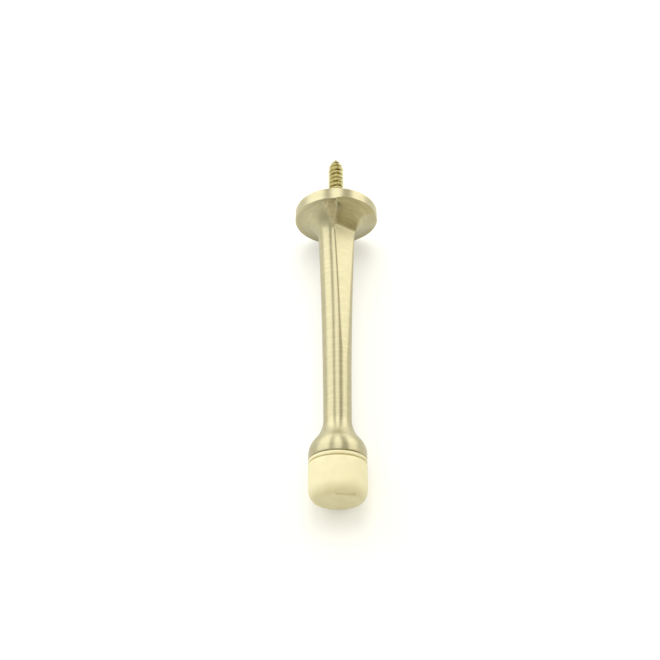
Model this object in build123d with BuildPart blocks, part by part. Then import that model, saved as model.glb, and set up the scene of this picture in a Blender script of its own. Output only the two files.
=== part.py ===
"""Rigid wall door stop: a one-piece cast body, the screw that fixes it and a rubber tip.

The origin is the centre of the flange's back face, which lies against the wall.
The stop stands out of the wall along -Y, its screw goes into the wall along +Y, and +Z is up.
All sizes are in millimetres, and a station is a distance from the wall along the stop.
"""

import os
from math import acos, ceil, cos, radians, sin

from build123d import *

# Whole stop, out of the wall
body_length = 83.2
tip_length = 11.6

# Flange
flange_diameter = 25.4
flange_thickness = 4.2
rim_front_radius = 0.5
rim_back_radius = 0.3

# Shank: a hollow round taper, with flats on one side that run out into it and have facets at the flange
root_diameter = 11.8
neck_diameter = 7.9
taper_hollow = 0.42
flare_land = 0.4
flat_count = 2
first_flat_angle = 35.0
flat_turn = 90.0
flat_distance = 4.15
facet_sink = 0.9
facet_length = 4.8
facet_reach = 3.85
facet_blend_radius = 2.0
facet_foot_radius = 4.0

# Bell that carries the rubber tip
bell_diameter = 16.0
bell_lip_length = 1.4
bell_hollow_radius = 9.5
bell_shoulder_radius = 6.5
bell_edge_radius = 0.3

# Socket in the bell and the stem that fills it
socket_diameter = 9.0
socket_depth = 6.5
stem_side_clearance = 0.1
stem_end_clearance = 0.4
stem_lead_in = 0.8

# Rubber tip
bead_width = 1.1
bead_rise = 0.25
groove_width = 0.35
groove_depth = 0.2
tip_edge_radius = 2.2

# Wood screw
screw_diameter = 4.8
screw_core_diameter = 3.4
screw_standout = 21.7
screw_neck_diameter = 4.1
screw_neck_length = 2.5
screw_point_length = 3.8
thread_pitch = 1.6
thread_base_width = 1.0
thread_run_in = 1.2
thread_relief = 0.1

# Hole in the flange that holds the screw's inner end
screw_hold_depth = 12.0
screw_side_clearance = 0.05
screw_end_clearance = 0.5
hole_mouth_chamfer = 0.4

flange_radius = flange_diameter / 2
root_radius = root_diameter / 2
neck_radius = neck_diameter / 2
bell_radius = bell_diameter / 2
socket_radius = socket_diameter / 2
screw_radius = screw_diameter / 2
screw_neck_radius = screw_neck_diameter / 2
core_radius = screw_core_diameter / 2

# The shank's flare sweeps out over the flange, up to a land at the rim
flare_radius = flange_radius - root_radius - flare_land

# The facets are sunk a little below the flange's face
sunk_station = flange_thickness - facet_sink
facet_station = sunk_station + facet_length

# The bell's two arcs turn through the same angle, out and back
bell_station = body_length
projection = body_length + tip_length
bell_arc_sum = bell_hollow_radius + bell_shoulder_radius
bell_turn = acos(1 - (bell_radius - neck_radius) / bell_arc_sum)
lip_station = bell_station - bell_lip_length
turn_station = lip_station - bell_shoulder_radius * sin(bell_turn)
turn_radius = bell_radius - bell_shoulder_radius * (1 - cos(bell_turn))
neck_station = turn_station - bell_hollow_radius * sin(bell_turn)

# A curve with one control point is hollow by half of that point's offset
taper_radius = (root_radius + neck_radius) / 2 - 2 * taper_hollow
taper_station = (flange_thickness + neck_station) / 2

wall_plane = Plane(origin=(0, 0, 0), x_dir=(1, 0, 0), z_dir=(0, 1, 0))
bell_plane = Plane(origin=(0, -bell_station, 0), x_dir=(1, 0, 0), z_dir=(0, -1, 0))


def radial_plane(angle):
    """Plane through the axis, turned from +Z to +X: local X points outwards, local Y is the station."""
    turn = radians(angle)
    outward = (sin(turn), 0, cos(turn))
    sideways = (cos(turn), 0, -sin(turn))
    return Plane(origin=(0, 0, 0), x_dir=outward, z_dir=sideways)


def corner(sketch, radius, station):
    """The vertex of a sketch on a radial plane that is nearest to a radius and a station."""
    return sketch.vertices().sort_by_distance((radius, station, 0))[0]


def polar(radius, angle):
    """A sketch point at a radius and an angle."""
    return (radius * cos(radians(angle)), radius * sin(radians(angle)))


os.makedirs("parts", exist_ok=True)

# Cast body: flange, shank and bell in one piece. Its half section is drawn on the ridge between the flats.
with BuildPart() as cast_body:
    ridge_angle = first_flat_angle + flat_turn / 2
    with BuildSketch(radial_plane(ridge_angle)) as body_section:
        with BuildLine():
            Polyline(
                (0, 0),
                (flange_radius, 0),
                (flange_radius, flange_thickness),
                (root_radius, flange_thickness),
            )
            Bezier(
                (root_radius, flange_thickness),
                (taper_radius, taper_station),
                (neck_radius, neck_station),
            )
            RadiusArc(
                (neck_radius, neck_station),
                (turn_radius, turn_station),
                bell_hollow_radius,
            )
            RadiusArc(
                (turn_radius, turn_station),
                (bell_radius, lip_station),
                -bell_shoulder_radius,
            )
            Polyline(
                (bell_radius, lip_station),
                (bell_radius, bell_station),
                (0, bell_station),
                (0, 0),
            )
        make_face()
        fillet(corner(body_section, root_radius, flange_thickness), flare_radius)
        fillet(corner(body_section, flange_radius, flange_thickness), rim_front_radius)
        fillet(corner(body_section, flange_radius, 0), rim_back_radius)
        fillet(corner(body_section, bell_radius, bell_station), bell_edge_radius)
    revolve(axis=Axis.Y)

    # Flats on the shank, each with a facet that leans out over the flange and into its face
    for flat in range(flat_count):
        with BuildSketch(radial_plane(first_flat_angle + flat * flat_turn)) as flat_cut:
            with BuildLine():
                Polyline(
                    (flat_distance, facet_station),
                    (flat_distance + facet_reach, sunk_station),
                    (flange_diameter, sunk_station),
                    (flange_diameter, neck_station),
                    (flat_distance, neck_station),
                    close=True,
                )
            make_face()
            fillet(corner(flat_cut, flat_distance, facet_station), facet_blend_radius)
            fillet(corner(flat_cut, flat_distance + facet_reach, sunk_station), facet_foot_radius)
        extrude(amount=flange_diameter, both=True, mode=Mode.SUBTRACT)

    # Blind hole for the screw, open at the wall
    with Locations(wall_plane):
        CounterSinkHole(
            radius=screw_radius + screw_side_clearance,
            counter_sink_radius=screw_radius + screw_side_clearance + hole_mouth_chamfer,
            depth=screw_hold_depth,
        )

    # Socket for the rubber tip's stem
    with Locations(bell_plane):
        Hole(radius=socket_radius, depth=socket_depth)

# Rubber tip: a stem in the socket, a bead and a groove behind a plain round-edged body
with BuildPart() as rubber_tip:
    with BuildSketch(radial_plane(0)) as tip_section:
        stem_radius = socket_radius - stem_side_clearance
        stem_station = bell_station - socket_depth + stem_end_clearance
        bead_radius = bell_radius - bead_rise
        bead_station = bell_station + bead_width
        body_station = bead_station + groove_width
        with BuildLine():
            Polyline(
                (0, stem_station),
                (stem_radius, stem_station),
                (stem_radius, bell_station),
                (bead_radius, bell_station),
            )
            SagittaArc((bead_radius, bell_station), (bead_radius, bead_station), -bead_rise)
            SagittaArc((bead_radius, bead_station), (bead_radius, body_station), groove_depth)
            CenterArc((bead_radius, body_station + bead_rise), bead_rise, -90, 90)
            Polyline(
                (bell_radius, body_station + bead_rise),
                (bell_radius, projection),
                (0, projection),
                (0, stem_station),
            )
        make_face()
        chamfer(corner(tip_section, stem_radius, stem_station), stem_lead_in)
        fillet(corner(tip_section, bell_radius, projection), tip_edge_radius)
    revolve(axis=Axis.Y)

# One turn of the screw's thread: a round core with one ridge, turned once round in a pitch
with BuildPart() as thread_turn:
    turn_plane = Plane(origin=(0, 0, 0), x_dir=(1, 0, 0), z_dir=(0, -1, 0))
    ridge_half_angle = 180 * thread_base_width / thread_pitch
    flank_radius = (core_radius + screw_radius) / 2
    with BuildSketch(turn_plane):
        with BuildLine():
            Spline(
                polar(core_radius, -ridge_half_angle),
                polar(flank_radius, -ridge_half_angle / 2),
                polar(screw_radius, 0),
                polar(flank_radius, ridge_half_angle / 2),
                polar(core_radius, ridge_half_angle),
            )
            ThreePointArc(
                polar(core_radius, ridge_half_angle),
                polar(core_radius, 180),
                polar(core_radius, -ridge_half_angle),
            )
        make_face()
    with BuildLine() as turn_axis:
        Line((0, 0, 0), (0, thread_pitch, 0))
    with BuildLine() as turn_guide:
        Helix(thread_pitch, thread_pitch, screw_radius, direction=(0, 1, 0))
    sweep(path=turn_axis.line, binormal=turn_guide.edge())

# The whole thread: turns stacked from the neck, with a cone to start it and one to point it
with BuildPart() as screw_thread:
    turn_count = ceil((screw_standout - screw_neck_length) / thread_pitch)
    with Locations(*[(0, screw_neck_length + turn * thread_pitch, 0) for turn in range(turn_count)]):
        add(thread_turn.part)
    with BuildSketch(Plane.XY):
        with BuildLine():
            run_in_radius = core_radius - thread_relief
            run_in_slope = (screw_radius - run_in_radius) / thread_run_in
            point_slope = screw_radius / screw_point_length
            Polyline(
                (0, screw_neck_length),
                (run_in_radius, screw_neck_length),
                (screw_diameter, screw_neck_length + (screw_diameter - run_in_radius) / run_in_slope),
                (screw_diameter, screw_standout - screw_diameter / point_slope),
                (0, screw_standout),
                close=True,
            )
        make_face()
    revolve(axis=Axis.Y, mode=Mode.INTERSECT)

# Screw: a plain inner end that stops below the hole's chamfer, a neck, and a wood thread up to the point
with BuildPart() as mounting_screw:
    inner_end = screw_end_clearance - screw_hold_depth
    with BuildSketch(Plane.XY):
        with BuildLine():
            Polyline(
                (0, inner_end),
                (screw_radius, inner_end),
                (screw_radius, -hole_mouth_chamfer),
                (screw_neck_radius, -hole_mouth_chamfer),
                (screw_neck_radius, screw_neck_length),
                (0, screw_neck_length),
                close=True,
            )
        make_face()
    revolve(axis=Axis.Y)
    add(screw_thread.part)

cast_body.part.label = "cast_body"
rubber_tip.part.label = "rubber_tip"
mounting_screw.part.label = "mounting_screw"
export_step(cast_body.part, "parts/cast_body.step")
export_step(rubber_tip.part, "parts/rubber_tip.step")
export_step(mounting_screw.part, "parts/mounting_screw.step")
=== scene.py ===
"""Rigid wall door stop: the finished look of its casting, screw and rubber tip, on a pale studio stage.

Lengths are in metres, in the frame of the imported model: the wall is the plane y = 0, the stop stands out
of it along -Y, its screw goes into it along +Y, and +Z is up. A station is a distance from the wall along
the stop, and an azimuth is an angle round its axis, from +Z towards +X.
"""

from math import acos, cos, exp, pi, radians, sin, sqrt, tan, tau

import bpy
from bpy.props import FloatProperty, FloatVectorProperty, PointerProperty
from bpy.types import NodeSocket, Operator, Panel, PropertyGroup
from mathutils import Matrix, Vector, noise


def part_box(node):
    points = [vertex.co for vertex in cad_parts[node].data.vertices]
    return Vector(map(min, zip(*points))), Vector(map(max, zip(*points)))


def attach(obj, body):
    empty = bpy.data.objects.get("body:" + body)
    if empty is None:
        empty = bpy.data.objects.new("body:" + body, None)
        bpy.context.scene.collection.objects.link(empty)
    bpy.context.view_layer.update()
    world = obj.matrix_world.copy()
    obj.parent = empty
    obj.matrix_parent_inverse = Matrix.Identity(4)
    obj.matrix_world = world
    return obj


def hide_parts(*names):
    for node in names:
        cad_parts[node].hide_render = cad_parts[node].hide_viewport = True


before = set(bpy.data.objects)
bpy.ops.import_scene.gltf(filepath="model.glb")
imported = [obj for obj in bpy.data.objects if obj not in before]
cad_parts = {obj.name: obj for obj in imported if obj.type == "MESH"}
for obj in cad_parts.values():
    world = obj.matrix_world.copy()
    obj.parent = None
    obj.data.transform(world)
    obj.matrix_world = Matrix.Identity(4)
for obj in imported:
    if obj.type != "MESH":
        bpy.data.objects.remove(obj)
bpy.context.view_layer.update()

bl_info = {
    "name": "Rigid Door Stop",
    "version": (1, 0, 0),
    "blender": (4, 5, 0),
    "location": "3D View > Sidebar > Door Stop",
    "description": "Builds a rigid wall door stop with its screw and rubber tip",
    "category": "Object",
}

MM = 0.001
BODY = "root"
BODY_LOW, BODY_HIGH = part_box("cast_body")
SCREW_LOW, SCREW_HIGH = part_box("mounting_screw")
TIP_LOW, TIP_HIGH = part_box("rubber_tip")


def linear(hex_colour):
    """Linear red, green and blue of an sRGB hex colour."""
    shares = [int(hex_colour[start:start + 2], 16) / 255 for start in (1, 3, 5)]
    return [share / 12.92 if share <= 0.04045 else ((share + 0.055) / 1.055) ** 2.4 for share in shares]


def size(name, description, default):
    """A length that the user can change."""
    return FloatProperty(name=name, description=description, default=default, min=0.0, precision=5,
                         subtype="DISTANCE", unit="LENGTH")


def colour(name, description, hex_colour):
    """A colour that the user can change, given as sRGB."""
    return FloatVectorProperty(name=name, description=description, default=linear(hex_colour),
                               min=0.0, max=1.0, subtype="COLOR")


def angle(name, description, degrees):
    """An angle that the user can change."""
    return FloatProperty(name=name, description=description, default=radians(degrees),
                         subtype="ANGLE", unit="ROTATION")


def share(name, description, default):
    """A plain number that the user can change."""
    return FloatProperty(name=name, description=description, default=default, min=0.0)


class CastBodySettings(PropertyGroup):
    """Sizes and colours of the casting."""

    flange_diameter: size("Flange diameter", "Width of the round flange", BODY_HIGH.x - BODY_LOW.x)
    flange_thickness: size("Flange thickness", "Thickness of the flange at its rim", 4.2 * MM)
    face_lean: size("Face lean", "How much thinner the flange is at its lower edge", 1.3 * MM)
    rim_front_radius: size("Rim front radius", "Rounding of the rim's front edge", 0.5 * MM)
    rim_back_radius: size("Rim back radius", "Rounding of the rim's edge at the wall", 0.3 * MM)
    body_length: size("Body length", "From the wall to the end of the bell", -BODY_LOW.y)
    root_diameter: size("Root diameter", "Width of the shank at the flange, before its flare", 11.8 * MM)
    neck_diameter: size("Neck diameter", "Width of the shank before the bell", 7.9 * MM)
    taper_hollow: size("Taper hollow", "How far the taper's middle is drawn in", 0.42 * MM)
    flare_land: size("Flare land", "What the flare's radius leaves of the flange's face", 0.4 * MM)
    first_flat_angle: angle("First flat", "Azimuth of the first of the shank's two flats", 35)
    flat_turn: angle("Flat turn", "Angle from the first flat to the second", 90)
    flat_distance: size("Flat distance", "Distance of the flats from the axis", 4.15 * MM)
    facet_sink: size("Facet sink", "How far the facets are sunk below the flange's face", 0.9 * MM)
    facet_length: size("Facet length", "Length of the facet from each flat down to the flange", 4.8 * MM)
    facet_reach: size("Facet reach", "How far that facet leans out over the flange", 2.4 * MM)
    facet_blend: size("Facet blend", "Softness of the edge between a flat and its facet", 0.5 * MM)
    facet_foot: size("Facet foot", "How far the facet's hollow foot runs out over the flange", 5.1 * MM)
    facet_foot_height: size("Facet foot height", "Height of that foot", 4.8 * MM)
    web_width: size("Web width", "Width at the rim of the rough web on the upper ridge", 4.4 * MM)
    web_end: size("Web end", "Width of that web where it runs out on the shank", 0.6 * MM)
    ridge_softness: size("Ridge softness", "Softness of the flats' edges", 0.3 * MM)
    fullness: share("Fullness", "How much tighter the round side is curved near the flange", 0.24)
    fullness_angle: angle("Fullness angle", "Azimuth in which the round side is fullest", -48)
    bell_diameter: size("Bell diameter", "Width of the bell", TIP_HIGH.x - TIP_LOW.x)
    bell_lip_length: size("Bell lip", "Length of the bell's straight lip", 1.4 * MM)
    bell_hollow_radius: size("Bell hollow", "Radius of the bell's hollow curve", 9.5 * MM)
    bell_shoulder_radius: size("Bell shoulder", "Radius of the bell's round shoulder", 6.5 * MM)
    bell_edge_radius: size("Bell edge", "Rounding of the bell's edge", 0.3 * MM)
    socket_diameter: size("Socket diameter", "Width of the socket for the rubber stem", 9.0 * MM)
    socket_depth: size("Socket depth", "Depth of that socket", 6.5 * MM)
    hole_diameter: size("Hole diameter", "Width of the screw's hole", 4.9 * MM)
    hole_depth: size("Hole depth", "Depth of that hole", 12.0 * MM)
    hole_chamfer: size("Hole chamfer", "Chamfer at that hole's mouth", 0.4 * MM)
    wave_height: size("Wave height", "Height of the unevenness that hand finishing leaves", 0.03 * MM)
    wave_length: size("Wave length", "Spacing of that unevenness", 7.0 * MM)
    brass: colour("Brass", "Pale brass where it is brushed", "#AEA889")
    # Painted shade: a darker, yellower brass on the first flat's facet stands in for the darker reflection
    # that the facet shows
    shaded_facet_brass: colour("Ground brass", "Brass on the ground facet of the first flat", "#A49B72")
    cast_skin: colour("Cast skin", "Brass where the brush didn't reach", "#D6CDA8")


class ScrewSettings(PropertyGroup):
    """Sizes and colour of the wood screw."""

    diameter: size("Diameter", "Width over the thread", SCREW_HIGH.x - SCREW_LOW.x)
    standout: size("Standout", "How far the screw stands out of the flange", SCREW_HIGH.y)
    inner_length: size("Inner length", "How far the screw reaches into the casting", -SCREW_LOW.y)
    core_diameter: size("Core diameter", "Width of the core", 3.2 * MM)
    neck_diameter: size("Neck diameter", "Width of the plain neck", 4.1 * MM)
    neck_length: size("Neck length", "Length of the plain neck", 2.5 * MM)
    run_in: size("Run in", "Length over which the thread rises", 1.2 * MM)
    point_length: size("Point length", "Length of the point", 4.6 * MM)
    pitch: size("Pitch", "Rise of the thread in one turn", 1.6 * MM)
    ridge_width: size("Ridge width", "Width of the thread's ridge at its foot", 1.0 * MM)
    crest_width: size("Crest width", "Width of the thread's ridge at its top", 0.14 * MM)
    shoulder_depth: size("Shoulder depth", "Depth of the inner end's shoulder in the hole", 0.4 * MM)
    plating: colour("Plating", "Pale brass plating", "#D8D0A2")
    # Painted shade: a dark colour in the thread's valleys stands in for the shade that falls there
    valley_shade: colour("Stain", "Dark plating in the thread's valleys", "#6B5F2A")


class RubberTipSettings(PropertyGroup):
    """Sizes and colour of the rubber tip."""

    diameter: size("Diameter", "Width of the tip", TIP_HIGH.x - TIP_LOW.x)
    projection: size("Projection", "From the wall to the tip's end", -TIP_LOW.y)
    stem_diameter: size("Stem diameter", "Width of the stem in the socket", 8.8 * MM)
    stem_length: size("Stem length", "Length of that stem", 6.1 * MM)
    stem_lead_in: size("Stem lead-in", "Chamfer at the stem's end", 0.8 * MM)
    bead_width: size("Bead width", "Width of the bead beside the metal", 1.1 * MM)
    bead_rise: size("Bead rise", "Height of that bead", 0.25 * MM)
    joint_depth: size("Joint depth", "Depth of the narrow gap between the bead and the metal", 0.35 * MM)
    groove_width: size("Groove width", "Width of the groove behind the bead", 0.35 * MM)
    groove_depth: size("Groove depth", "Depth of that groove", 0.45 * MM)
    edge_radius: size("Edge radius", "Width of the rounding of the tip's end", 2.2 * MM)
    edge_length: size("Edge length", "Length of that rounding along the tip", 3.6 * MM)
    mark_height: size("Mark height", "Height of the mould mark on the tip's end over its middle", 5.3 * MM)
    mark_middle: size("Mark middle", "How far that mark lies to the right of the middle", 2.0 * MM)
    mark_length: size("Mark length", "Length of that mark", 5.8 * MM)
    mark_turn: angle("Mark turn", "How far that mark is turned down to the right", 12)
    mark_width: size("Mark width", "Width of that mark", 0.5 * MM)
    mark_depth: size("Mark depth", "Depth of that mark", 0.25 * MM)
    rubber: colour("Rubber", "Cream rubber", "#DFD8B2")
    dull_rubber: colour("Dull rubber", "Cream rubber where it is cloudy", "#D9D1A9")
    # Painted shade: a darker cream in the mould mark stands in for the shade in that shallow groove
    shaded_mark_rubber: colour("Dirty rubber", "Cream rubber with dirt in the mould mark", "#CABF90")


class StageSettings(PropertyGroup):
    """Floor, light and camera."""

    floor: colour("Floor", "Pale card that the stop lies on", "#F7F7F3")
    front_room: colour("Front room", "Room on the viewer's right, warm and darker", "#B2A882")
    back_room: colour("Back room", "Room behind and on the left", "#E2E1D8")
    panel_light: share("Panel light", "Radiance of the long panels", 1.9)
    fill_light: share("Fill light", "Radiance of the fill lamp", 1.03)


def settings():
    """The settings of the current scene."""
    return bpy.context.scene.door_stop


def clamp(value, low=0.0, high=1.0):
    """A value, kept between two limits."""
    return min(max(value, low), high)


def blend(low, high, value):
    """Smooth step: 0 at low and before, 1 at high and after."""
    step = clamp((value - low) / (high - low))
    return step * step * (3 - 2 * step)


def soft_minimum(first, second, softness):
    """The smaller of two values, rounded where they come within softness of each other."""
    overlap = max(softness - abs(first - second), 0.0) / softness
    return min(first, second) - overlap * overlap * softness / 4


def arc(centre, radius, start, end, steps):
    """Profile points (radius, station) on an arc, between two angles in degrees."""
    turns = [radians(start + (end - start) * step / steps) for step in range(steps + 1)]
    return [(centre[0] + radius * cos(turn), centre[1] + radius * sin(turn)) for turn in turns]


def line(start, end, steps):
    """Profile points (radius, station) on a straight line, without its last point."""
    shares = [step / steps for step in range(steps)]
    return [tuple(a + (b - a) * part for a, b in zip(start, end)) for part in shares]


def spaced(start, end, steps):
    """Evenly spaced numbers, without the last one."""
    return [start + (end - start) * step / steps for step in range(steps)]


def turn_from(middle, azimuth):
    """Signed angle from one azimuth to another, of half a turn at most."""
    return (azimuth - middle + pi) % tau - pi


def azimuths(columns):
    """Evenly spaced angles round the axis."""
    return [tau * column / columns for column in range(columns)]


def ring(station, radius_at, columns):
    """Points round the axis at one station. The radius may change with the azimuth."""
    points = []
    for azimuth in azimuths(columns):
        radius = radius_at(azimuth)
        points.append(Vector((radius * sin(azimuth), -station, radius * cos(azimuth))))
    return points


def plain_rings(profile, columns):
    """Round rings through the points (radius, station) of a profile."""
    return [ring(station, lambda azimuth: radius, columns) for radius, station in profile]


def lathe(name, rings, first_station, last_station, crease):
    """A closed mesh of rings joined by quads, with a fan to a point on the axis at each end."""
    columns = len(rings[0])
    points = [point for row in rings for point in row]
    first = len(points)
    last = first + 1
    points += [Vector((0, -first_station, 0)), Vector((0, -last_station, 0))]
    faces = []
    for row in range(len(rings) - 1):
        for column in range(columns):
            after = (column + 1) % columns
            here = row * columns
            there = here + columns
            faces.append((here + column, there + column, there + after, here + after))
    end = (len(rings) - 1) * columns
    for column in range(columns):
        after = (column + 1) % columns
        faces.append((first, column, after))
        faces.append((end + column, last, end + after))
    mesh = bpy.data.meshes.new(name)
    mesh.from_pydata(points, [], faces)
    mesh.shade_smooth()
    mesh.set_sharp_from_angle(angle=crease)
    mesh.validate()
    return mesh


def write_shares(mesh, name, values):
    """A share for each point of a mesh, which its material reads. Points after the last value get 0."""
    values = values + [0.0] * (len(mesh.vertices) - len(values))
    mesh.attributes.new(name, "FLOAT", "POINT").data.foreach_set("value", values)


def add_object(name, data):
    """A new object in the scene."""
    made = bpy.data.objects.new(name, data)
    bpy.context.scene.collection.objects.link(made)
    return made


def show(mesh, material, node):
    """A piece that stands for a CAD node and takes its material slot."""
    piece = add_object(mesh.name, mesh)
    mesh.materials.append(material)
    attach(piece, BODY)
    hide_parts(node)


def add_node(tree, kind, inputs=None, **attributes):
    """A shader node with its attributes, and its inputs set to values or linked to other nodes' outputs."""
    made = tree.nodes.new(kind)
    for name, value in attributes.items():
        setattr(made, name, value)
    for name, value in (inputs or {}).items():
        if isinstance(value, NodeSocket):
            tree.links.new(value, made.inputs[name])
        else:
            made.inputs[name].default_value = value
    return made


def new_material(name):
    """An empty material with its tree and the output node."""
    material = bpy.data.materials.new(name)
    material.use_nodes = True
    material.node_tree.nodes.clear()
    output = material.node_tree.nodes.new("ShaderNodeOutputMaterial")
    return material, material.node_tree, output


# Sockets of the colour mix node, whose float and colour inputs share their names
MIX_SHARE = 0
MIX_FIRST = 6
MIX_SECOND = 7
MIX_RESULT = 2

# Steps of a small rounding, on any piece
EDGE_STEPS = 6

# The casting

# How finely its mesh is divided, and the angle from which an edge is sharp
BODY_COLUMNS = 256
HOLE_STEPS = 6
BACK_STEPS = 12
RIM_STEPS = 5
RIM_EDGE_STEPS = 8
FLARE_RINGS = 30
TAPER_RINGS = 120
BELL_RINGS = 22
LIP_STEPS = 4
SOCKET_STEPS = 4
BODY_CREASE = radians(40)

# How far round a flat is followed
FLAT_HALF_TURN = radians(75)

# Where the tighter curve of the round side fades, and its axis's shift over how much tighter it is
FULL_START = radians(45)
FULL_END = radians(110)
FULL_SHIFT = 1.12

# A ridge is sharper where its flat cuts less deep
SOFT_SHARE = 1.2
LEAST_SOFTNESS = 0.04 * MM

# The rough web: its height over the facet, its fading sides and end, and how soon it widens
WEB_RISE = 3.0 * MM
WEB_LEFT_FADE = 0.9 * MM
WEB_RIGHT_FADE = 0.25 * MM
WEB_RUN_OUT = 3.0 * MM
WEB_FULLNESS = 0.55

# Room between the sunk facets and the rim's last plain ring below them
STEP_HEIGHT = 0.05 * MM

# How the painted shade on the first flat's facet fades at its edges, towards its flat and round the shank
FACET_SHADE_FADE = 0.4 * MM
FACET_SHADE_RUN_OUT = 1.2 * MM
FACET_SHADE_HALF_TURN = radians(28)
FACET_SHADE_END = radians(37)

# The waves of hand finishing are drawn out along the stop
WAVE_STRETCH = 2


class Shank:
    """The casting's shape between the flange's face and the end of the bell."""

    def __init__(self, body):
        self.body = body
        self.face = body.flange_thickness
        self.sunk = body.flange_thickness - body.facet_sink
        self.root = body.root_diameter / 2
        self.neck = body.neck_diameter / 2
        self.bell = body.bell_diameter / 2
        self.flat = body.flat_distance
        flange = body.flange_diameter / 2
        self.flare = flange - self.root - body.flare_land
        self.facet_slope = body.facet_reach / body.facet_length
        turn = acos(1 - (self.bell - self.neck) / (body.bell_hollow_radius + body.bell_shoulder_radius))
        self.lip_station = body.body_length - body.bell_lip_length
        self.turn_station = self.lip_station - body.bell_shoulder_radius * sin(turn)
        self.neck_station = self.turn_station - body.bell_hollow_radius * sin(turn)
        # The flare's arc touches the flange's face and the taper
        self.flare_centre = self.face + self.flare
        slope = self.taper_slope(self.flare_centre)
        steepness = sqrt(1 + slope * slope)
        self.foot = self.taper(self.flare_centre) + self.flare * steepness
        self.flare_end = self.flare_centre + self.flare * slope / steepness
        self.middle = body.first_flat_angle + body.flat_turn / 2
        self.upper_ridge = body.first_flat_angle - body.flat_turn / 2

    def taper(self, station):
        """Radius of the hollow taper, a curve with one control point at its middle."""
        middle = (self.root + self.neck) / 2 - 2 * self.body.taper_hollow
        run = (station - self.face) / (self.neck_station - self.face)
        return (1 - run) ** 2 * self.root + 2 * run * (1 - run) * middle + run * run * self.neck

    def taper_slope(self, station):
        """Change of the taper's radius along the station."""
        reach = MM / 10
        return (self.taper(station + reach) - self.taper(station - reach)) / (2 * reach)

    def round_radius(self, station):
        """Radius of the round trumpet: the flare, the taper and the bell's two arcs."""
        body = self.body
        if station < self.flare_end:
            return self.foot - sqrt(max(self.flare ** 2 - (self.flare_centre - station) ** 2, 0.0))
        if station < self.neck_station:
            return self.taper(station)
        if station < self.turn_station:
            rise = station - self.neck_station
            return self.neck + body.bell_hollow_radius - sqrt(body.bell_hollow_radius ** 2 - rise * rise)
        if station < self.lip_station:
            fall = self.lip_station - station
            return self.bell - body.bell_shoulder_radius + sqrt(body.bell_shoulder_radius ** 2 - fall * fall)
        return self.bell

    def side_radius(self, station, azimuth):
        """Radius of the round trumpet, whose upper side is curved tighter about an axis of its own."""
        body = self.body
        plain = self.round_radius(station)
        remaining = (self.taper(station) - self.neck) / (self.root - self.neck)
        near_flange = blend(0.0, 1.0, remaining) if station < self.neck_station else 0.0
        off = turn_from(body.fullness_angle, azimuth)
        full = body.fullness * near_flange * (1 - blend(FULL_START, FULL_END, abs(off)))
        return plain + full * self.taper(station) * (FULL_SHIFT * cos(off) - 1)

    def flat_reach(self, station):
        """Distance of a flat, or of its facet over the flange, from the axis."""
        body = self.body
        height = station - self.sunk
        facet = body.facet_reach - height * self.facet_slope
        foot = body.facet_foot * max(1 - height / body.facet_foot_height, 0.0) ** 2
        return self.flat - soft_minimum(-facet, 0.0, body.facet_blend) + foot

    def flat_radius(self, station, azimuth):
        """Radius at which the nearer flat, or its facet over the flange, is met."""
        from_middle = abs(turn_from(self.middle, azimuth))
        off = min(abs(from_middle - self.body.flat_turn / 2), FLAT_HALF_TURN)
        return self.flat_reach(station) / cos(off) + WEB_RISE * self.cast_skin(station, azimuth)

    def rim_radius(self, plain, station, azimuth):
        """Radius of the flange's rim, which a facet may cut."""
        return min(plain, self.flat_radius(station, azimuth))

    def radius(self, station, azimuth):
        """Radius of the finished shank, with soft ridges and the slight waves of hand finishing."""
        body = self.body
        plain = self.side_radius(station, azimuth)
        if station < self.neck_station:
            depth = max(plain - self.flat_reach(station), 0.0)
            softness = min(body.ridge_softness, SOFT_SHARE * depth + LEAST_SOFTNESS)
            plain = soft_minimum(plain, self.flat_radius(station, azimuth), softness)
        place = Vector((plain * sin(azimuth), station / WAVE_STRETCH, plain * cos(azimuth)))
        worked = blend(self.face, self.flare_end, station)
        worked *= 1 - blend(self.turn_station, self.lip_station, station)
        return plain + body.wave_height * worked * noise.noise(place / body.wave_length)

    def cast_skin(self, station, azimuth):
        """Share of rough cast skin: a web on the upper ridge, where the brush doesn't reach."""
        body = self.body
        radius = self.round_radius(station)
        near_rim = (radius - self.root) / (self.foot - self.root)
        widening = clamp(near_rim) ** WEB_FULLNESS
        half_width = (body.web_end + (body.web_width - body.web_end) * widening) / 2
        off = turn_from(self.upper_ridge, azimuth)
        beside = radius * sin(clamp(off, -pi / 2, pi / 2))
        fade = WEB_LEFT_FADE if off < 0 else WEB_RIGHT_FADE
        over_flange = 1 - blend(self.flare_end - WEB_RUN_OUT, self.flare_end, station)
        return (1 - blend(half_width - fade, half_width + fade, abs(beside))) * over_flange

    def facet_shade(self, plain, station, azimuth):
        """Share of painted shade: darker brass on the facet of the first flat, up to the flat itself, in
        place of the darker reflection there.
        """
        off = abs(turn_from(self.body.first_flat_angle, azimuth))
        top = self.sunk + self.body.facet_length
        below_flat = 1 - blend(top - FACET_SHADE_RUN_OUT, top, station)
        beside = 1 - blend(FACET_SHADE_HALF_TURN, FACET_SHADE_END, off)
        cut = blend(0.0, FACET_SHADE_FADE, plain - self.flat_radius(station, azimuth))
        # On the right it ends before the second flat's facet
        return cut * below_flat * (beside if azimuth < pi else 1.0)


def lean_face(mesh, shank):
    """Make the flange thinner towards its lower edge. Its back and the shank stay as they are."""
    flange = shank.body.flange_diameter / 2
    for vertex in mesh.vertices:
        place = vertex.co
        reach = sqrt(place.x * place.x + place.z * place.z)
        if reach < shank.root:
            continue
        below = (1 - place.z / reach) / 2
        loss = shank.body.face_lean * below * blend(shank.root, flange, reach)
        if -place.y < shank.flare_end:
            place.y += loss * min(-place.y / shank.face, 1.0)


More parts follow.
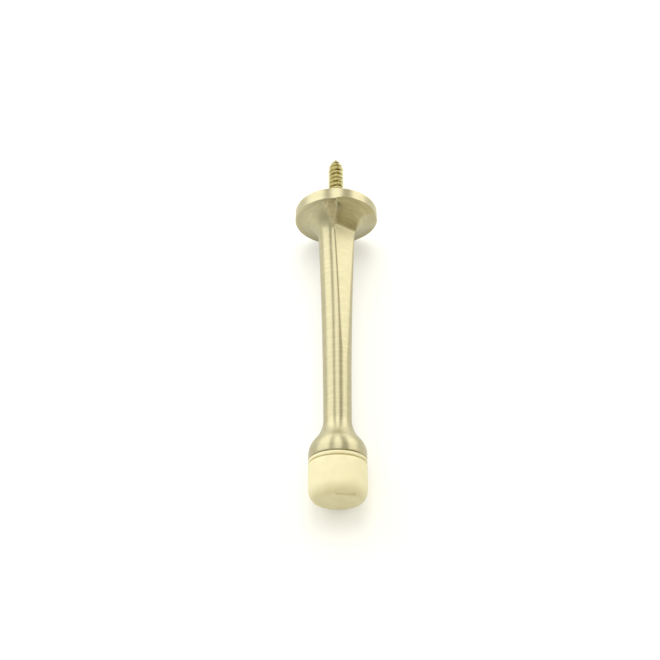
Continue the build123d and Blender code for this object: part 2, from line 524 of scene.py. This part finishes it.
def hole_and_back_profile(shank):
    """The screw's hole, the flange's back and its rim up to the sunk facets."""
    body = shank.body
    hole = body.hole_diameter / 2
    mouth = hole + body.hole_chamfer
    flange = body.flange_diameter / 2
    edge = body.rim_back_radius
    last = shank.sunk - STEP_HEIGHT
    profile = line((hole, body.hole_depth), (hole, body.hole_chamfer), HOLE_STEPS)
    profile += [(hole, body.hole_chamfer)]
    profile += line((mouth, 0), (flange - edge, 0), BACK_STEPS)
    profile += arc((flange - edge, edge), edge, -90, 0, EDGE_STEPS)
    profile += line((flange, edge), (flange, last), RIM_STEPS)[1:]
    profile += [(flange, last)]
    return profile


def rim_profile(shank):
    """The rim from the sunk facets, which may cut it, up to the flange's face."""
    body = shank.body
    flange = body.flange_diameter / 2
    edge = body.rim_front_radius
    profile = line((flange, shank.sunk), (flange, shank.face - edge), RIM_STEPS)
    profile += arc((flange - edge, shank.face - edge), edge, 0, 90, RIM_EDGE_STEPS)
    return profile


def lip_and_socket_profile(shank):
    """The bell's straight lip, its end and the socket."""
    body = shank.body
    bell = shank.bell
    socket = body.socket_diameter / 2
    end = body.body_length
    edge = body.bell_edge_radius
    profile = line((bell, shank.lip_station), (bell, end - edge), LIP_STEPS)
    profile += arc((bell - edge, end - edge), edge, 0, 90, EDGE_STEPS)
    profile += line((bell - edge, end), (socket, end), LIP_STEPS)[1:]
    profile += line((socket, end), (socket, end - body.socket_depth), SOCKET_STEPS)
    profile += [(socket, end - body.socket_depth)]
    return profile


def shank_stations(shank):
    """Stations from the flange's face to the bell's lip, closest together where the flare is widest."""
    flare_turns = spaced(0, acos((shank.flare_centre - shank.flare_end) / shank.flare), FLARE_RINGS)
    stations = [shank.flare_centre - shank.flare * cos(turn) for turn in flare_turns]
    stations += spaced(shank.flare_end, shank.neck_station, TAPER_RINGS)
    stations += spaced(shank.neck_station, shank.turn_station, BELL_RINGS)
    stations += spaced(shank.turn_station, shank.lip_station, BELL_RINGS)
    return stations


def cast_body_mesh(body):
    """The casting: screw hole, flange, flare, shank, bell and socket, as one closed surface."""
    shank = Shank(body)
    turns = azimuths(BODY_COLUMNS)
    rings = plain_rings(hole_and_back_profile(shank), BODY_COLUMNS)
    skin = [0.0] * (len(rings) * BODY_COLUMNS)
    facet_shade = list(skin)
    for plain, station in rim_profile(shank):
        rings.append(ring(station, lambda azimuth: shank.rim_radius(plain, station, azimuth), BODY_COLUMNS))
        skin += [0.0] * BODY_COLUMNS
        facet_shade += [shank.facet_shade(plain, station, azimuth) for azimuth in turns]
    for station in shank_stations(shank):
        plain = shank.round_radius(station)
        rings.append(ring(station, lambda azimuth: shank.radius(station, azimuth), BODY_COLUMNS))
        skin += [shank.cast_skin(station, azimuth) for azimuth in turns]
        facet_shade += [shank.facet_shade(plain, station, azimuth) for azimuth in turns]
    rings += plain_rings(lip_and_socket_profile(shank), BODY_COLUMNS)
    socket_end = body.body_length - body.socket_depth
    mesh = lathe("cast_body_finish", rings, body.hole_depth, socket_end, BODY_CREASE)
    lean_face(mesh, shank)
    write_shares(mesh, "cast_skin", skin)
    write_shares(mesh, "shaded_facet_brass", facet_shade)
    return mesh


# Sizes of the patterns on the brass
BRUSH_SPACING = 0.8 * MM
BRUSH_LENGTH = 5.0 * MM
BRUSH_DEPTH = 0.02 * MM
TONE_SPACING = 5.0 * MM
GRAIN_SPACING = 0.9 * MM
GRAIN_DEPTH = 0.35 * MM

# Octaves of each pattern, and the strength of its finer octaves
BRUSH_OCTAVES = 3.0
BRUSH_FINENESS = 0.6
TONE_OCTAVES = 3.0
TONE_FINENESS = 0.55
GRAIN_OCTAVES = 2.0

# Values between which each pattern comes in, and its share
SKIN_RANGE = (0.1, 0.6)
TONE_RANGE = (0.3, 0.75)
TONE_SHARE = 0.16
LINE_RANGE = (0.45, 0.75)
LINE_SHARE = 0.35

BRUSHED_ROUGHNESS = 0.34
SKIN_ROUGHNESS = 0.5
BRUSH_ANISOTROPY = 0.75
QUARTER_TURN = 0.25


def satin_brass(body):
    """Cast brass, brushed round the axis: soft bands of light along the stop, and fine lines across it."""
    # The brush lines spread the light along the axis only, so lamps show as long bands with clear sides.
    # Real brush lines are about 0.05 mm apart, and cast grain is about 0.2 mm. Both are drawn coarser, so
    # that they show.
    material, tree, output = new_material("satin_brass_brushed")
    place = add_node(tree, "ShaderNodeTexCoord").outputs["Object"]
    across = add_node(tree, "ShaderNodeVectorMath", {0: place, 1: (1.0, 0.0, 1.0)}, operation="MULTIPLY")
    outward = add_node(tree, "ShaderNodeVectorMath", {0: across.outputs["Vector"]}, operation="LENGTH")
    # Lines round the axis: stations tell them apart on the shank, and radii on the flange's faces
    line_place = add_node(tree, "ShaderNodeCombineXYZ", {"Y": outward.outputs["Value"]})
    line_place = add_node(tree, "ShaderNodeVectorMath", {
        0: place, 1: line_place.outputs["Vector"],
    }, operation="ADD")
    line_place = add_node(tree, "ShaderNodeMapping", {
        "Vector": line_place.outputs["Vector"],
        "Scale": (1 / BRUSH_LENGTH, 1 / BRUSH_SPACING, 1 / BRUSH_LENGTH),
    }).outputs["Vector"]
    brush = add_node(tree, "ShaderNodeTexNoise", {
        "Vector": line_place, "Scale": 1.0, "Detail": BRUSH_OCTAVES, "Roughness": BRUSH_FINENESS,
    }).outputs["Fac"]
    tone = add_node(tree, "ShaderNodeTexNoise", {
        "Vector": place, "Scale": 1 / TONE_SPACING, "Detail": TONE_OCTAVES, "Roughness": TONE_FINENESS,
    }).outputs["Fac"]
    grain = add_node(tree, "ShaderNodeTexNoise", {
        "Vector": place, "Scale": 1 / GRAIN_SPACING, "Detail": GRAIN_OCTAVES,
    }).outputs["Fac"]
    skin = add_node(tree, "ShaderNodeAttribute", attribute_name="cast_skin").outputs["Fac"]
    uneven_skin = add_node(tree, "ShaderNodeMath", {0: skin, 1: grain}, operation="MULTIPLY").outputs[0]
    skin_share = add_node(tree, "ShaderNodeMapRange", {
        "Value": uneven_skin, "From Min": SKIN_RANGE[0], "From Max": SKIN_RANGE[1],
    }).outputs["Result"]
    dull = add_node(tree, "ShaderNodeMapRange", {
        "Value": tone, "From Min": TONE_RANGE[0], "From Max": TONE_RANGE[1], "To Max": TONE_SHARE,
    }).outputs["Result"]
    lines = add_node(tree, "ShaderNodeMapRange", {
        "Value": brush, "From Min": LINE_RANGE[0], "From Max": LINE_RANGE[1], "To Max": LINE_SHARE,
    }).outputs["Result"]
    uneven = add_node(tree, "ShaderNodeMath", {0: lines, 1: dull}, operation="ADD").outputs[0]
    skin_share = add_node(tree, "ShaderNodeMath", {
        0: skin_share, 1: uneven,
    }, operation="ADD", use_clamp=True).outputs[0]
    # Painted shade on the first flat's facet: darker brass in place of its darker reflection
    facet_shade = add_node(tree, "ShaderNodeAttribute", attribute_name="shaded_facet_brass").outputs["Fac"]
    shade = add_node(tree, "ShaderNodeMix", {
        MIX_SHARE: facet_shade, MIX_FIRST: (*body.brass, 1.0), MIX_SECOND: (*body.shaded_facet_brass, 1.0),
    }, data_type="RGBA").outputs[MIX_RESULT]
    shade = add_node(tree, "ShaderNodeMix", {
        MIX_SHARE: skin_share, MIX_FIRST: shade, MIX_SECOND: (*body.cast_skin, 1.0),
    }, data_type="RGBA").outputs[MIX_RESULT]
    gloss = add_node(tree, "ShaderNodeMapRange", {
        "Value": skin_share, "To Min": BRUSHED_ROUGHNESS, "To Max": SKIN_ROUGHNESS,
    }).outputs["Result"]
    brush_relief = add_node(tree, "ShaderNodeBump", {
        "Height": brush, "Strength": 1.0, "Distance": BRUSH_DEPTH,
    }).outputs["Normal"]
    relief = add_node(tree, "ShaderNodeBump", {
        "Height": uneven_skin, "Strength": 1.0, "Distance": GRAIN_DEPTH, "Normal": brush_relief,
    }).outputs["Normal"]
    round_axis = add_node(tree, "ShaderNodeTangent", direction_type="RADIAL", axis="Y").outputs["Tangent"]
    shader = add_node(tree, "ShaderNodeBsdfPrincipled", {
        "Base Color": shade, "Metallic": 1.0, "Roughness": gloss, "Normal": relief, "Tangent": round_axis,
        "Anisotropic": BRUSH_ANISOTROPY, "Anisotropic Rotation": QUARTER_TURN,
    })
    tree.links.new(shader.outputs["BSDF"], output.inputs["Surface"])
    return material


# The wood screw

# How finely its mesh is divided, and the angle from which an edge is sharp
SCREW_COLUMNS = 72
THREAD_RING_SPACING = 0.06 * MM
NECK_STEPS = 12
SHOULDER_STEPS = 3
INNER_STEPS = 8
SCREW_CREASE = radians(60)

# Length over which the neck turns into the thread
NECK_ROUNDING = 0.4 * MM


class Thread:
    """The screw's shape outside the casting: a neck, and a thread that runs out onto the point."""

    def __init__(self, screw):
        self.screw = screw
        self.core = screw.core_diameter / 2
        self.crest = screw.diameter / 2
        self.neck = screw.neck_diameter / 2

    def climb(self, height, azimuth):
        """How far up the thread's ridge a point is: 0 in the valley, 1 on the crest."""
        screw = self.screw
        turn = (height / screw.pitch - azimuth / tau) % 1.0
        from_ridge = abs(turn - 0.5) * screw.pitch
        flank = (screw.ridge_width - screw.crest_width) / 2
        slope = clamp((screw.ridge_width / 2 - from_ridge) / flank)
        return slope * blend(screw.neck_length, screw.neck_length + screw.run_in, height)

    def past_neck(self, height):
        """Share of the thread's shape: 0 on the plain neck, 1 past its rounding."""
        return blend(self.screw.neck_length, self.screw.neck_length + NECK_ROUNDING, height)

    def valley(self, height, azimuth):
        """How deep in the thread's valley a point is: 0 on the crest and on the plain neck."""
        return (1 - self.climb(height, azimuth)) * self.past_neck(height)

    def radius(self, height, azimuth):
        """Radius at a height over the flange. Core and crest narrow together to the point."""
        screw = self.screw
        remaining = clamp((screw.standout - height) / screw.point_length)
        ridge = self.core + (self.crest - self.core) * self.climb(height, azimuth)
        return (self.neck + (ridge - self.neck) * self.past_neck(height)) * sin(remaining * pi / 2)


def screw_mesh(screw):
    """The screw, from its point down to its plain inner end in the casting."""
    thread = Thread(screw)
    rows = round((screw.standout - screw.neck_length) / THREAD_RING_SPACING)
    heights = spaced(screw.standout - THREAD_RING_SPACING, screw.neck_length, rows)
    heights += spaced(screw.neck_length, -screw.shoulder_depth, NECK_STEPS)
    rings = []
    valley = []
    for height in heights:
        rings.append(ring(-height, lambda azimuth: thread.radius(height, azimuth), SCREW_COLUMNS))
        valley += [thread.valley(height, azimuth) for azimuth in azimuths(SCREW_COLUMNS)]
    inner = line((thread.neck, screw.shoulder_depth), (thread.crest, screw.shoulder_depth), SHOULDER_STEPS)
    inner += line((thread.crest, screw.shoulder_depth), (thread.crest, screw.inner_length), INNER_STEPS)
    inner += [(thread.crest, screw.inner_length)]
    rings += plain_rings(inner, SCREW_COLUMNS)
    mesh = lathe("mounting_screw_finish", rings, -screw.standout, screw.inner_length, SCREW_CREASE)
    # Share of painted shade: deepest in the thread's valleys
    write_shares(mesh, "painted_valley_shade", valley)
    return mesh


VALLEY_SHADE_SPACING = 1.2 * MM
VALLEY_SHADE_OCTAVES = 3.0
VALLEY_SHADE_RANGE = (0.1, 0.55)
PLATED_ROUGHNESS = 0.16
VALLEY_ROUGHNESS = 0.5


def plated_steel(screw):
    """Steel screw with a rolled thread and pale brass plating: bright crests, and painted shade that darkens
    the valleys.
    """
    material, tree, output = new_material("brass_plated_steel_rolled")
    place = add_node(tree, "ShaderNodeTexCoord").outputs["Object"]
    tone = add_node(tree, "ShaderNodeTexNoise", {
        "Vector": place, "Scale": 1 / VALLEY_SHADE_SPACING, "Detail": VALLEY_SHADE_OCTAVES,
    }).outputs["Fac"]
    # Painted shade: the valleys are mixed towards a dark colour
    valley = add_node(tree, "ShaderNodeAttribute", attribute_name="painted_valley_shade").outputs["Fac"]
    valley_shade_share = add_node(tree, "ShaderNodeMath", {0: valley, 1: tone}, operation="MULTIPLY").outputs[0]
    valley_shade_share = add_node(tree, "ShaderNodeMapRange", {
        "Value": valley_shade_share, "From Min": VALLEY_SHADE_RANGE[0], "From Max": VALLEY_SHADE_RANGE[1],
    }).outputs["Result"]
    shade = add_node(tree, "ShaderNodeMix", {
        MIX_SHARE: valley_shade_share, MIX_FIRST: (*screw.plating, 1.0), MIX_SECOND: (*screw.valley_shade, 1.0),
    }, data_type="RGBA").outputs[MIX_RESULT]
    gloss = add_node(tree, "ShaderNodeMapRange", {
        "Value": valley_shade_share, "To Min": PLATED_ROUGHNESS, "To Max": VALLEY_ROUGHNESS,
    }).outputs["Result"]
    shader = add_node(tree, "ShaderNodeBsdfPrincipled", {
        "Base Color": shade, "Metallic": 1.0, "Roughness": gloss,
    })
    tree.links.new(shader.outputs["BSDF"], output.inputs["Surface"])
    return material


# The rubber tip

# How finely its mesh is divided, and the angle from which an edge is sharp
TIP_COLUMNS = 192
LEAD_IN_STEPS = 2
STEM_STEPS = 4
JOINT_STEPS = 6
BEAD_STEPS = 16
GROOVE_STEPS = 8
SIDE_STEPS = 16
ROUNDING_STEPS = 20
END_STEPS = 60
TIP_CREASE = radians(60)

# Share of the bead that leans back from the metal, and how full the bead's curve is
JOINT_SHARE = 0.25
BEAD_FULLNESS = 0.35

# Share of the mould mark's half length after which it fades
MARK_FADE = 0.8


def rubber_tip_mesh(tip):
    """The tip: a stem in the socket, a bead against the metal, a groove and a plain round-edged body."""
    radius = tip.diameter / 2
    stem = tip.stem_diameter / 2
    bell = -BODY_LOW.y
    start = bell - tip.stem_length
    bead = radius - tip.bead_rise
    bead_end = bell + tip.bead_width
    body_start = bead_end + tip.groove_width
    edge = tip.edge_radius
    length = tip.edge_length

    profile = line((stem - tip.stem_lead_in, start), (stem, start + tip.stem_lead_in), LEAD_IN_STEPS)
    profile += line((stem, start + tip.stem_lead_in), (stem, bell), STEM_STEPS)
    profile += line((stem, bell), (bead - tip.joint_depth, bell), JOINT_STEPS)
    for step in range(BEAD_STEPS + 1):
        along = step / BEAD_STEPS
        bulge = max(sin(pi * along), 0.0) ** BEAD_FULLNESS
        gap = tip.joint_depth * max(1 - along / JOINT_SHARE, 0.0) ** 2
        profile.append((bead + tip.bead_rise * bulge - gap, bell + tip.bead_width * along))
    for step in range(1, GROOVE_STEPS):
        along = step / GROOVE_STEPS
        profile.append((bead - tip.groove_depth * sin(pi * along), bead_end + tip.groove_width * along))
    profile += arc((bead, body_start + tip.bead_rise), tip.bead_rise, -90, 0, EDGE_STEPS)
    profile += line((radius, body_start + tip.bead_rise), (radius, tip.projection - length), SIDE_STEPS)[1:]
    # The rounding of the end is longer than it is wide
    for across, along in arc((0.0, 0.0), 1.0, 0, 90, ROUNDING_STEPS):
        profile.append((radius - edge + edge * across, tip.projection - length + length * along))
    profile += line((radius - edge, tip.projection), (0, tip.projection), END_STEPS)[1:]
    mesh = lathe("rubber_tip_finish", plain_rings(profile, TIP_COLUMNS), start, tip.projection, TIP_CREASE)
    press_mark(mesh, tip)
    return mesh


def press_mark(mesh, tip):
    """A short straight mark that the mould left on the tip's end, drawn darker with painted shade."""
    mark_shade = []
    for vertex in mesh.vertices:
        along = vertex.co.x - tip.mark_middle
        beside = (vertex.co.z - tip.mark_height + along * tan(tip.mark_turn)) / tip.mark_width
        beyond = abs(along) / (tip.mark_length / 2)
        on_end = vertex.co.y < -tip.projection + tip.edge_radius
        mark_shade.append(exp(-beside * beside) * (1 - blend(MARK_FADE, 1.0, beyond)) if on_end else 0.0)
        vertex.co.y += tip.mark_depth * mark_shade[-1]
    write_shares(mesh, "painted_mark_shade", mark_shade)


CLOUD_SPACING = 3.5 * MM
CLOUD_OCTAVES = 4.0
CLOUD_RANGE = (0.35, 0.7)
PEEL_SPACING = 0.4 * MM
PEEL_OCTAVES = 2.0
PEEL_DEPTH = 0.012 * MM
RUBBER_ROUGHNESS = 0.5
RUBBER_GLOW = 0.1
GLOW_DEPTH = 1.0 * MM


def cream_rubber(tip):
    """Moulded cream rubber: matt and a little cloudy, with light that goes in under its surface."""
    # The mould's fine sandblasted skin is about 0.1 mm: it is drawn coarser, so that it shows.
    material, tree, output = new_material("moulded_cream_rubber")
    place = add_node(tree, "ShaderNodeTexCoord").outputs["Object"]
    cloud = add_node(tree, "ShaderNodeTexNoise", {
        "Vector": place, "Scale": 1 / CLOUD_SPACING, "Detail": CLOUD_OCTAVES,
    }).outputs["Fac"]
    cloud = add_node(tree, "ShaderNodeMapRange", {
        "Value": cloud, "From Min": CLOUD_RANGE[0], "From Max": CLOUD_RANGE[1],
    }).outputs["Result"]
    shade = add_node(tree, "ShaderNodeMix", {
        MIX_SHARE: cloud, MIX_FIRST: (*tip.rubber, 1.0), MIX_SECOND: (*tip.dull_rubber, 1.0),
    }, data_type="RGBA").outputs[MIX_RESULT]
    # Painted shade: the mould mark is drawn in a darker cream
    mark_shade = add_node(tree, "ShaderNodeAttribute", attribute_name="painted_mark_shade").outputs["Fac"]
    shade = add_node(tree, "ShaderNodeMix", {
        MIX_SHARE: mark_shade, MIX_FIRST: shade, MIX_SECOND: (*tip.shaded_mark_rubber, 1.0),
    }, data_type="RGBA").outputs[MIX_RESULT]
    peel = add_node(tree, "ShaderNodeTexNoise", {
        "Vector": place, "Scale": 1 / PEEL_SPACING, "Detail": PEEL_OCTAVES,
    }).outputs["Fac"]
    relief = add_node(tree, "ShaderNodeBump", {
        "Height": peel, "Strength": 1.0, "Distance": PEEL_DEPTH,
    }).outputs["Normal"]
    shader = add_node(tree, "ShaderNodeBsdfPrincipled", {
        "Base Color": shade, "Roughness": RUBBER_ROUGHNESS, "Normal": relief,
        "Subsurface Weight": RUBBER_GLOW, "Subsurface Scale": GLOW_DEPTH,
    })
    tree.links.new(shader.outputs["BSDF"], output.inputs["Surface"])
    return material


# The stage

# Camera that was fitted to the photo. Its focal length and its middle are in pixels of the frame.
FRAME_PIXELS = 660
SENSOR_WIDTH = 36.0
FOCAL_PIXELS = 945.0
PRINCIPAL_X = 337.0
PRINCIPAL_Y = 339.7
CAMERA_ROLL = radians(-0.37)
CAMERA_EYE = Vector((0.0, -181.1, 237.5)) * MM
CAMERA_AIM = Vector((0.0, -45.6, 0.0)) * MM


def place_camera():
    """The camera looks down along the stop, from the rubber tip's side."""
    data = bpy.data.cameras.new("view")
    data.sensor_width = SENSOR_WIDTH
    data.lens = FOCAL_PIXELS / FRAME_PIXELS * SENSOR_WIDTH
    data.shift_x = (FRAME_PIXELS / 2 - PRINCIPAL_X) / FRAME_PIXELS
    data.shift_y = (PRINCIPAL_Y - FRAME_PIXELS / 2) / FRAME_PIXELS
    data.clip_start = MM
    camera = add_object("view", data)
    look = (CAMERA_AIM - CAMERA_EYE).normalized()
    right = Vector((1.0, 0.0, 0.0))
    up = right.cross(look)
    turned = Matrix((right, up, -look)).transposed().to_4x4()
    roll = Matrix.Rotation(CAMERA_ROLL, 4, "Z")
    camera.matrix_world = Matrix.Translation(CAMERA_EYE) @ turned @ roll
    bpy.context.scene.camera = camera


# The panels' distance from the stop's axis, and where they start and end behind the wall
PANEL_DISTANCE = 0.6
PANEL_START = 0.08
PANEL_END = 6.0

# First and last angle round the stop, in degrees from above towards +X, and share of the panel light
PANELS = {
    "left_panel": (-88, -33, 0.95),
    "overhead_strip": (-15, 17, 1.0),
    "right_panel": (44, 88, 1.06),
}

# The fill lamp leans back from straight above
FILL_LEAN = radians(10)
FILL_DISTANCE = 0.9
FILL_WIDTH = 0.9


def add_lamp(name, outward, place, width, length, radiance):
    """A soft rectangular lamp that faces back along a direction. Its length runs along the stop."""
    across = Vector((0.0, 1.0, 0.0)).cross(outward).normalized()
    along = outward.cross(across)
    data = bpy.data.lights.new(name, "AREA")
    data.shape = "RECTANGLE"
    data.size = width
    data.size_y = length
    # A flat lamp's power is pi times its area times its radiance
    data.energy = pi * width * length * radiance
    lamp = add_object(name, data)
    turned = Matrix((across, along, outward)).transposed().to_4x4()
    lamp.matrix_world = Matrix.Translation(place) @ turned
    lamp.visible_camera = False
    return lamp


def hang_lamps(stage):
    """Long panels beside and over the stop, which the metal shows as bands, and a lamp that only fills."""
    for name, (first_turn, last_turn, brightness) in PANELS.items():
        turn = radians(first_turn + last_turn) / 2
        outward = Vector((sin(turn), 0.0, cos(turn)))
        place = outward * PANEL_DISTANCE + Vector((0.0, (PANEL_START + PANEL_END) / 2, 0.0))
        width = 2 * PANEL_DISTANCE * tan(radians(last_turn - first_turn) / 2)
        add_lamp(name, outward, place, width, PANEL_END - PANEL_START, stage.panel_light * brightness)
    above = Vector((0.0, sin(FILL_LEAN), cos(FILL_LEAN)))
    fill = add_lamp("fill", above, above * FILL_DISTANCE, FILL_WIDTH, FILL_WIDTH, stage.fill_light)
    fill.visible_glossy = False


# Direction in which the room gets paler, and how far along it the room is palest
ROOM_AXIS = (-0.8, 0.6, 0.0)
BACK_START = 0.3


def light_room(stage):
    """A plain room that is darker and warmer on the viewer's right."""
    world = bpy.data.worlds.new("room")
    world.use_nodes = True
    tree = world.node_tree
    direction = add_node(tree, "ShaderNodeTexCoord").outputs["Generated"]
    along = add_node(tree, "ShaderNodeVectorMath", {0: direction, 1: ROOM_AXIS}, operation="DOT_PRODUCT")
    share_back = add_node(tree, "ShaderNodeMapRange", {
        "Value": along.outputs["Value"], "From Min": -1.0, "From Max": BACK_START,
    }).outputs["Result"]
    shade = add_node(tree, "ShaderNodeMix", {
        MIX_SHARE: share_back, MIX_FIRST: (*stage.front_room, 1.0), MIX_SECOND: (*stage.back_room, 1.0),
    }, data_type="RGBA").outputs[MIX_RESULT]
    tree.links.new(shade, tree.nodes["Background"].inputs["Color"])
    bpy.context.scene.world = world


# Share of plain white in the card as it is seen directly or in the metal
CARD_LIFT = 0.27
CARD_ROUGHNESS = 0.9


def pale_card(stage):
    """Matt card: white where it is lit, with the stop's soft shadow."""
    material, tree, output = new_material("matt_white_card")
    shader = add_node(tree, "ShaderNodeBsdfPrincipled", {
        "Base Color": (*stage.floor, 1.0), "Roughness": CARD_ROUGHNESS,
    })
    glow = add_node(tree, "ShaderNodeEmission", {"Color": (1.0, 1.0, 1.0, 1.0), "Strength": 1.0})
    path = add_node(tree, "ShaderNodeLightPath")
    seen = add_node(tree, "ShaderNodeMath", {
        0: path.outputs["Is Camera Ray"], 1: path.outputs["Is Glossy Ray"],
    }, operation="ADD").outputs[0]
    seen = add_node(tree, "ShaderNodeMath", {
        0: seen, 1: path.outputs["Is Transmission Ray"],
    }, operation="ADD", use_clamp=True).outputs[0]
    lift = add_node(tree, "ShaderNodeMath", {0: seen, 1: CARD_LIFT}, operation="MULTIPLY").outputs[0]
    mixed = add_node(tree, "ShaderNodeMixShader", {
        0: lift, 1: shader.outputs["BSDF"], 2: glow.outputs["Emission"],
    })
    tree.links.new(mixed.outputs["Shader"], output.inputs["Surface"])
    return material


FLOOR_REACH = 2.0


def lay_floor(stage):
    """The floor touches the flange's rim and the rubber tip, as under a stop that lies down."""
    rim = Vector((0.0, -settings().cast_body.flange_thickness, BODY_LOW.z))
    tip = Vector((0.0, TIP_LOW.y + settings().rubber_tip.edge_length, TIP_LOW.z))
    along = (tip - rim).normalized()
    corners = []
    for side, reach in ((-1, -1), (-1, 1), (1, 1), (1, -1)):
        corners.append(rim + along * reach * FLOOR_REACH + Vector((side * FLOOR_REACH, 0.0, 0.0)))
    mesh = bpy.data.meshes.new("floor")
    mesh.from_pydata(corners, [], [(0, 1, 2, 3)])
    mesh.materials.append(pale_card(stage))
    floor = add_object("floor", mesh)


class DOORSTOP_OT_cast_body(Operator):
    """Build the casting: flange, shank and bell"""

    bl_idname = "doorstop.cast_body"
    bl_label = "Cast Body"

    def execute(self, context):
        body = settings().cast_body
        show(cast_body_mesh(body), satin_brass(body), "cast_body")
        return {"FINISHED"}


class DOORSTOP_OT_mounting_screw(Operator):
    """Build the wood screw"""

    bl_idname = "doorstop.mounting_screw"
    bl_label = "Mounting Screw"

    def execute(self, context):
        screw = settings().screw
        show(screw_mesh(screw), plated_steel(screw), "mounting_screw")
        return {"FINISHED"}


class DOORSTOP_OT_rubber_tip(Operator):
    """Build the rubber tip"""

    bl_idname = "doorstop.rubber_tip"
    bl_label = "Rubber Tip"

    def execute(self, context):
        tip = settings().rubber_tip
        show(rubber_tip_mesh(tip), cream_rubber(tip), "rubber_tip")
        return {"FINISHED"}


class DOORSTOP_OT_stage(Operator):
    """Lay the floor, and set up the lamps and the camera"""

    bl_idname = "doorstop.stage"
    bl_label = "Stage"

    def execute(self, context):
        stage = settings().stage
        lay_floor(stage)
        hang_lamps(stage)
        light_room(stage)
        place_camera()
        context.scene.view_settings.view_transform = "Standard"
        return {"FINISHED"}


class DOORSTOP_PT_panel(Panel):
    """Settings and steps of the door stop"""

    bl_label = "Rigid Door Stop"
    bl_space_type = "VIEW_3D"
    bl_region_type = "UI"
    bl_category = "Door Stop"

    def draw(self, context):
        for group, operator in (("cast_body", "doorstop.cast_body"), ("screw", "doorstop.mounting_screw"),
                                ("rubber_tip", "doorstop.rubber_tip"), ("stage", "doorstop.stage")):
            column = self.layout.column()
            column.operator(operator)
            values = getattr(settings(), group)
            for name in values.__annotations__:
                column.prop(values, name)


class DoorStopSettings(PropertyGroup):
    """All settings of the door stop."""

    cast_body: PointerProperty(type=CastBodySettings)
    screw: PointerProperty(type=ScrewSettings)
    rubber_tip: PointerProperty(type=RubberTipSettings)
    stage: PointerProperty(type=StageSettings)


CLASSES = (
    CastBodySettings,
    ScrewSettings,
    RubberTipSettings,
    StageSettings,
    DoorStopSettings,
    DOORSTOP_OT_cast_body,
    DOORSTOP_OT_mounting_screw,
    DOORSTOP_OT_rubber_tip,
    DOORSTOP_OT_stage,
    DOORSTOP_PT_panel,
)


def register():
    """Add the classes and the scene's settings."""
    for one in CLASSES:
        bpy.utils.register_class(one)
    bpy.types.Scene.door_stop = PointerProperty(type=DoorStopSettings)


def unregister():
    """Take them away again."""
    del bpy.types.Scene.door_stop
    for one in reversed(CLASSES):
        bpy.utils.unregister_class(one)


def main():
    """Build the stop and its stage."""
    register()
    bpy.ops.doorstop.cast_body()
    bpy.ops.doorstop.mounting_screw()
    bpy.ops.doorstop.rubber_tip()
    bpy.ops.doorstop.stage()


if __name__ == "__main__":
    main()
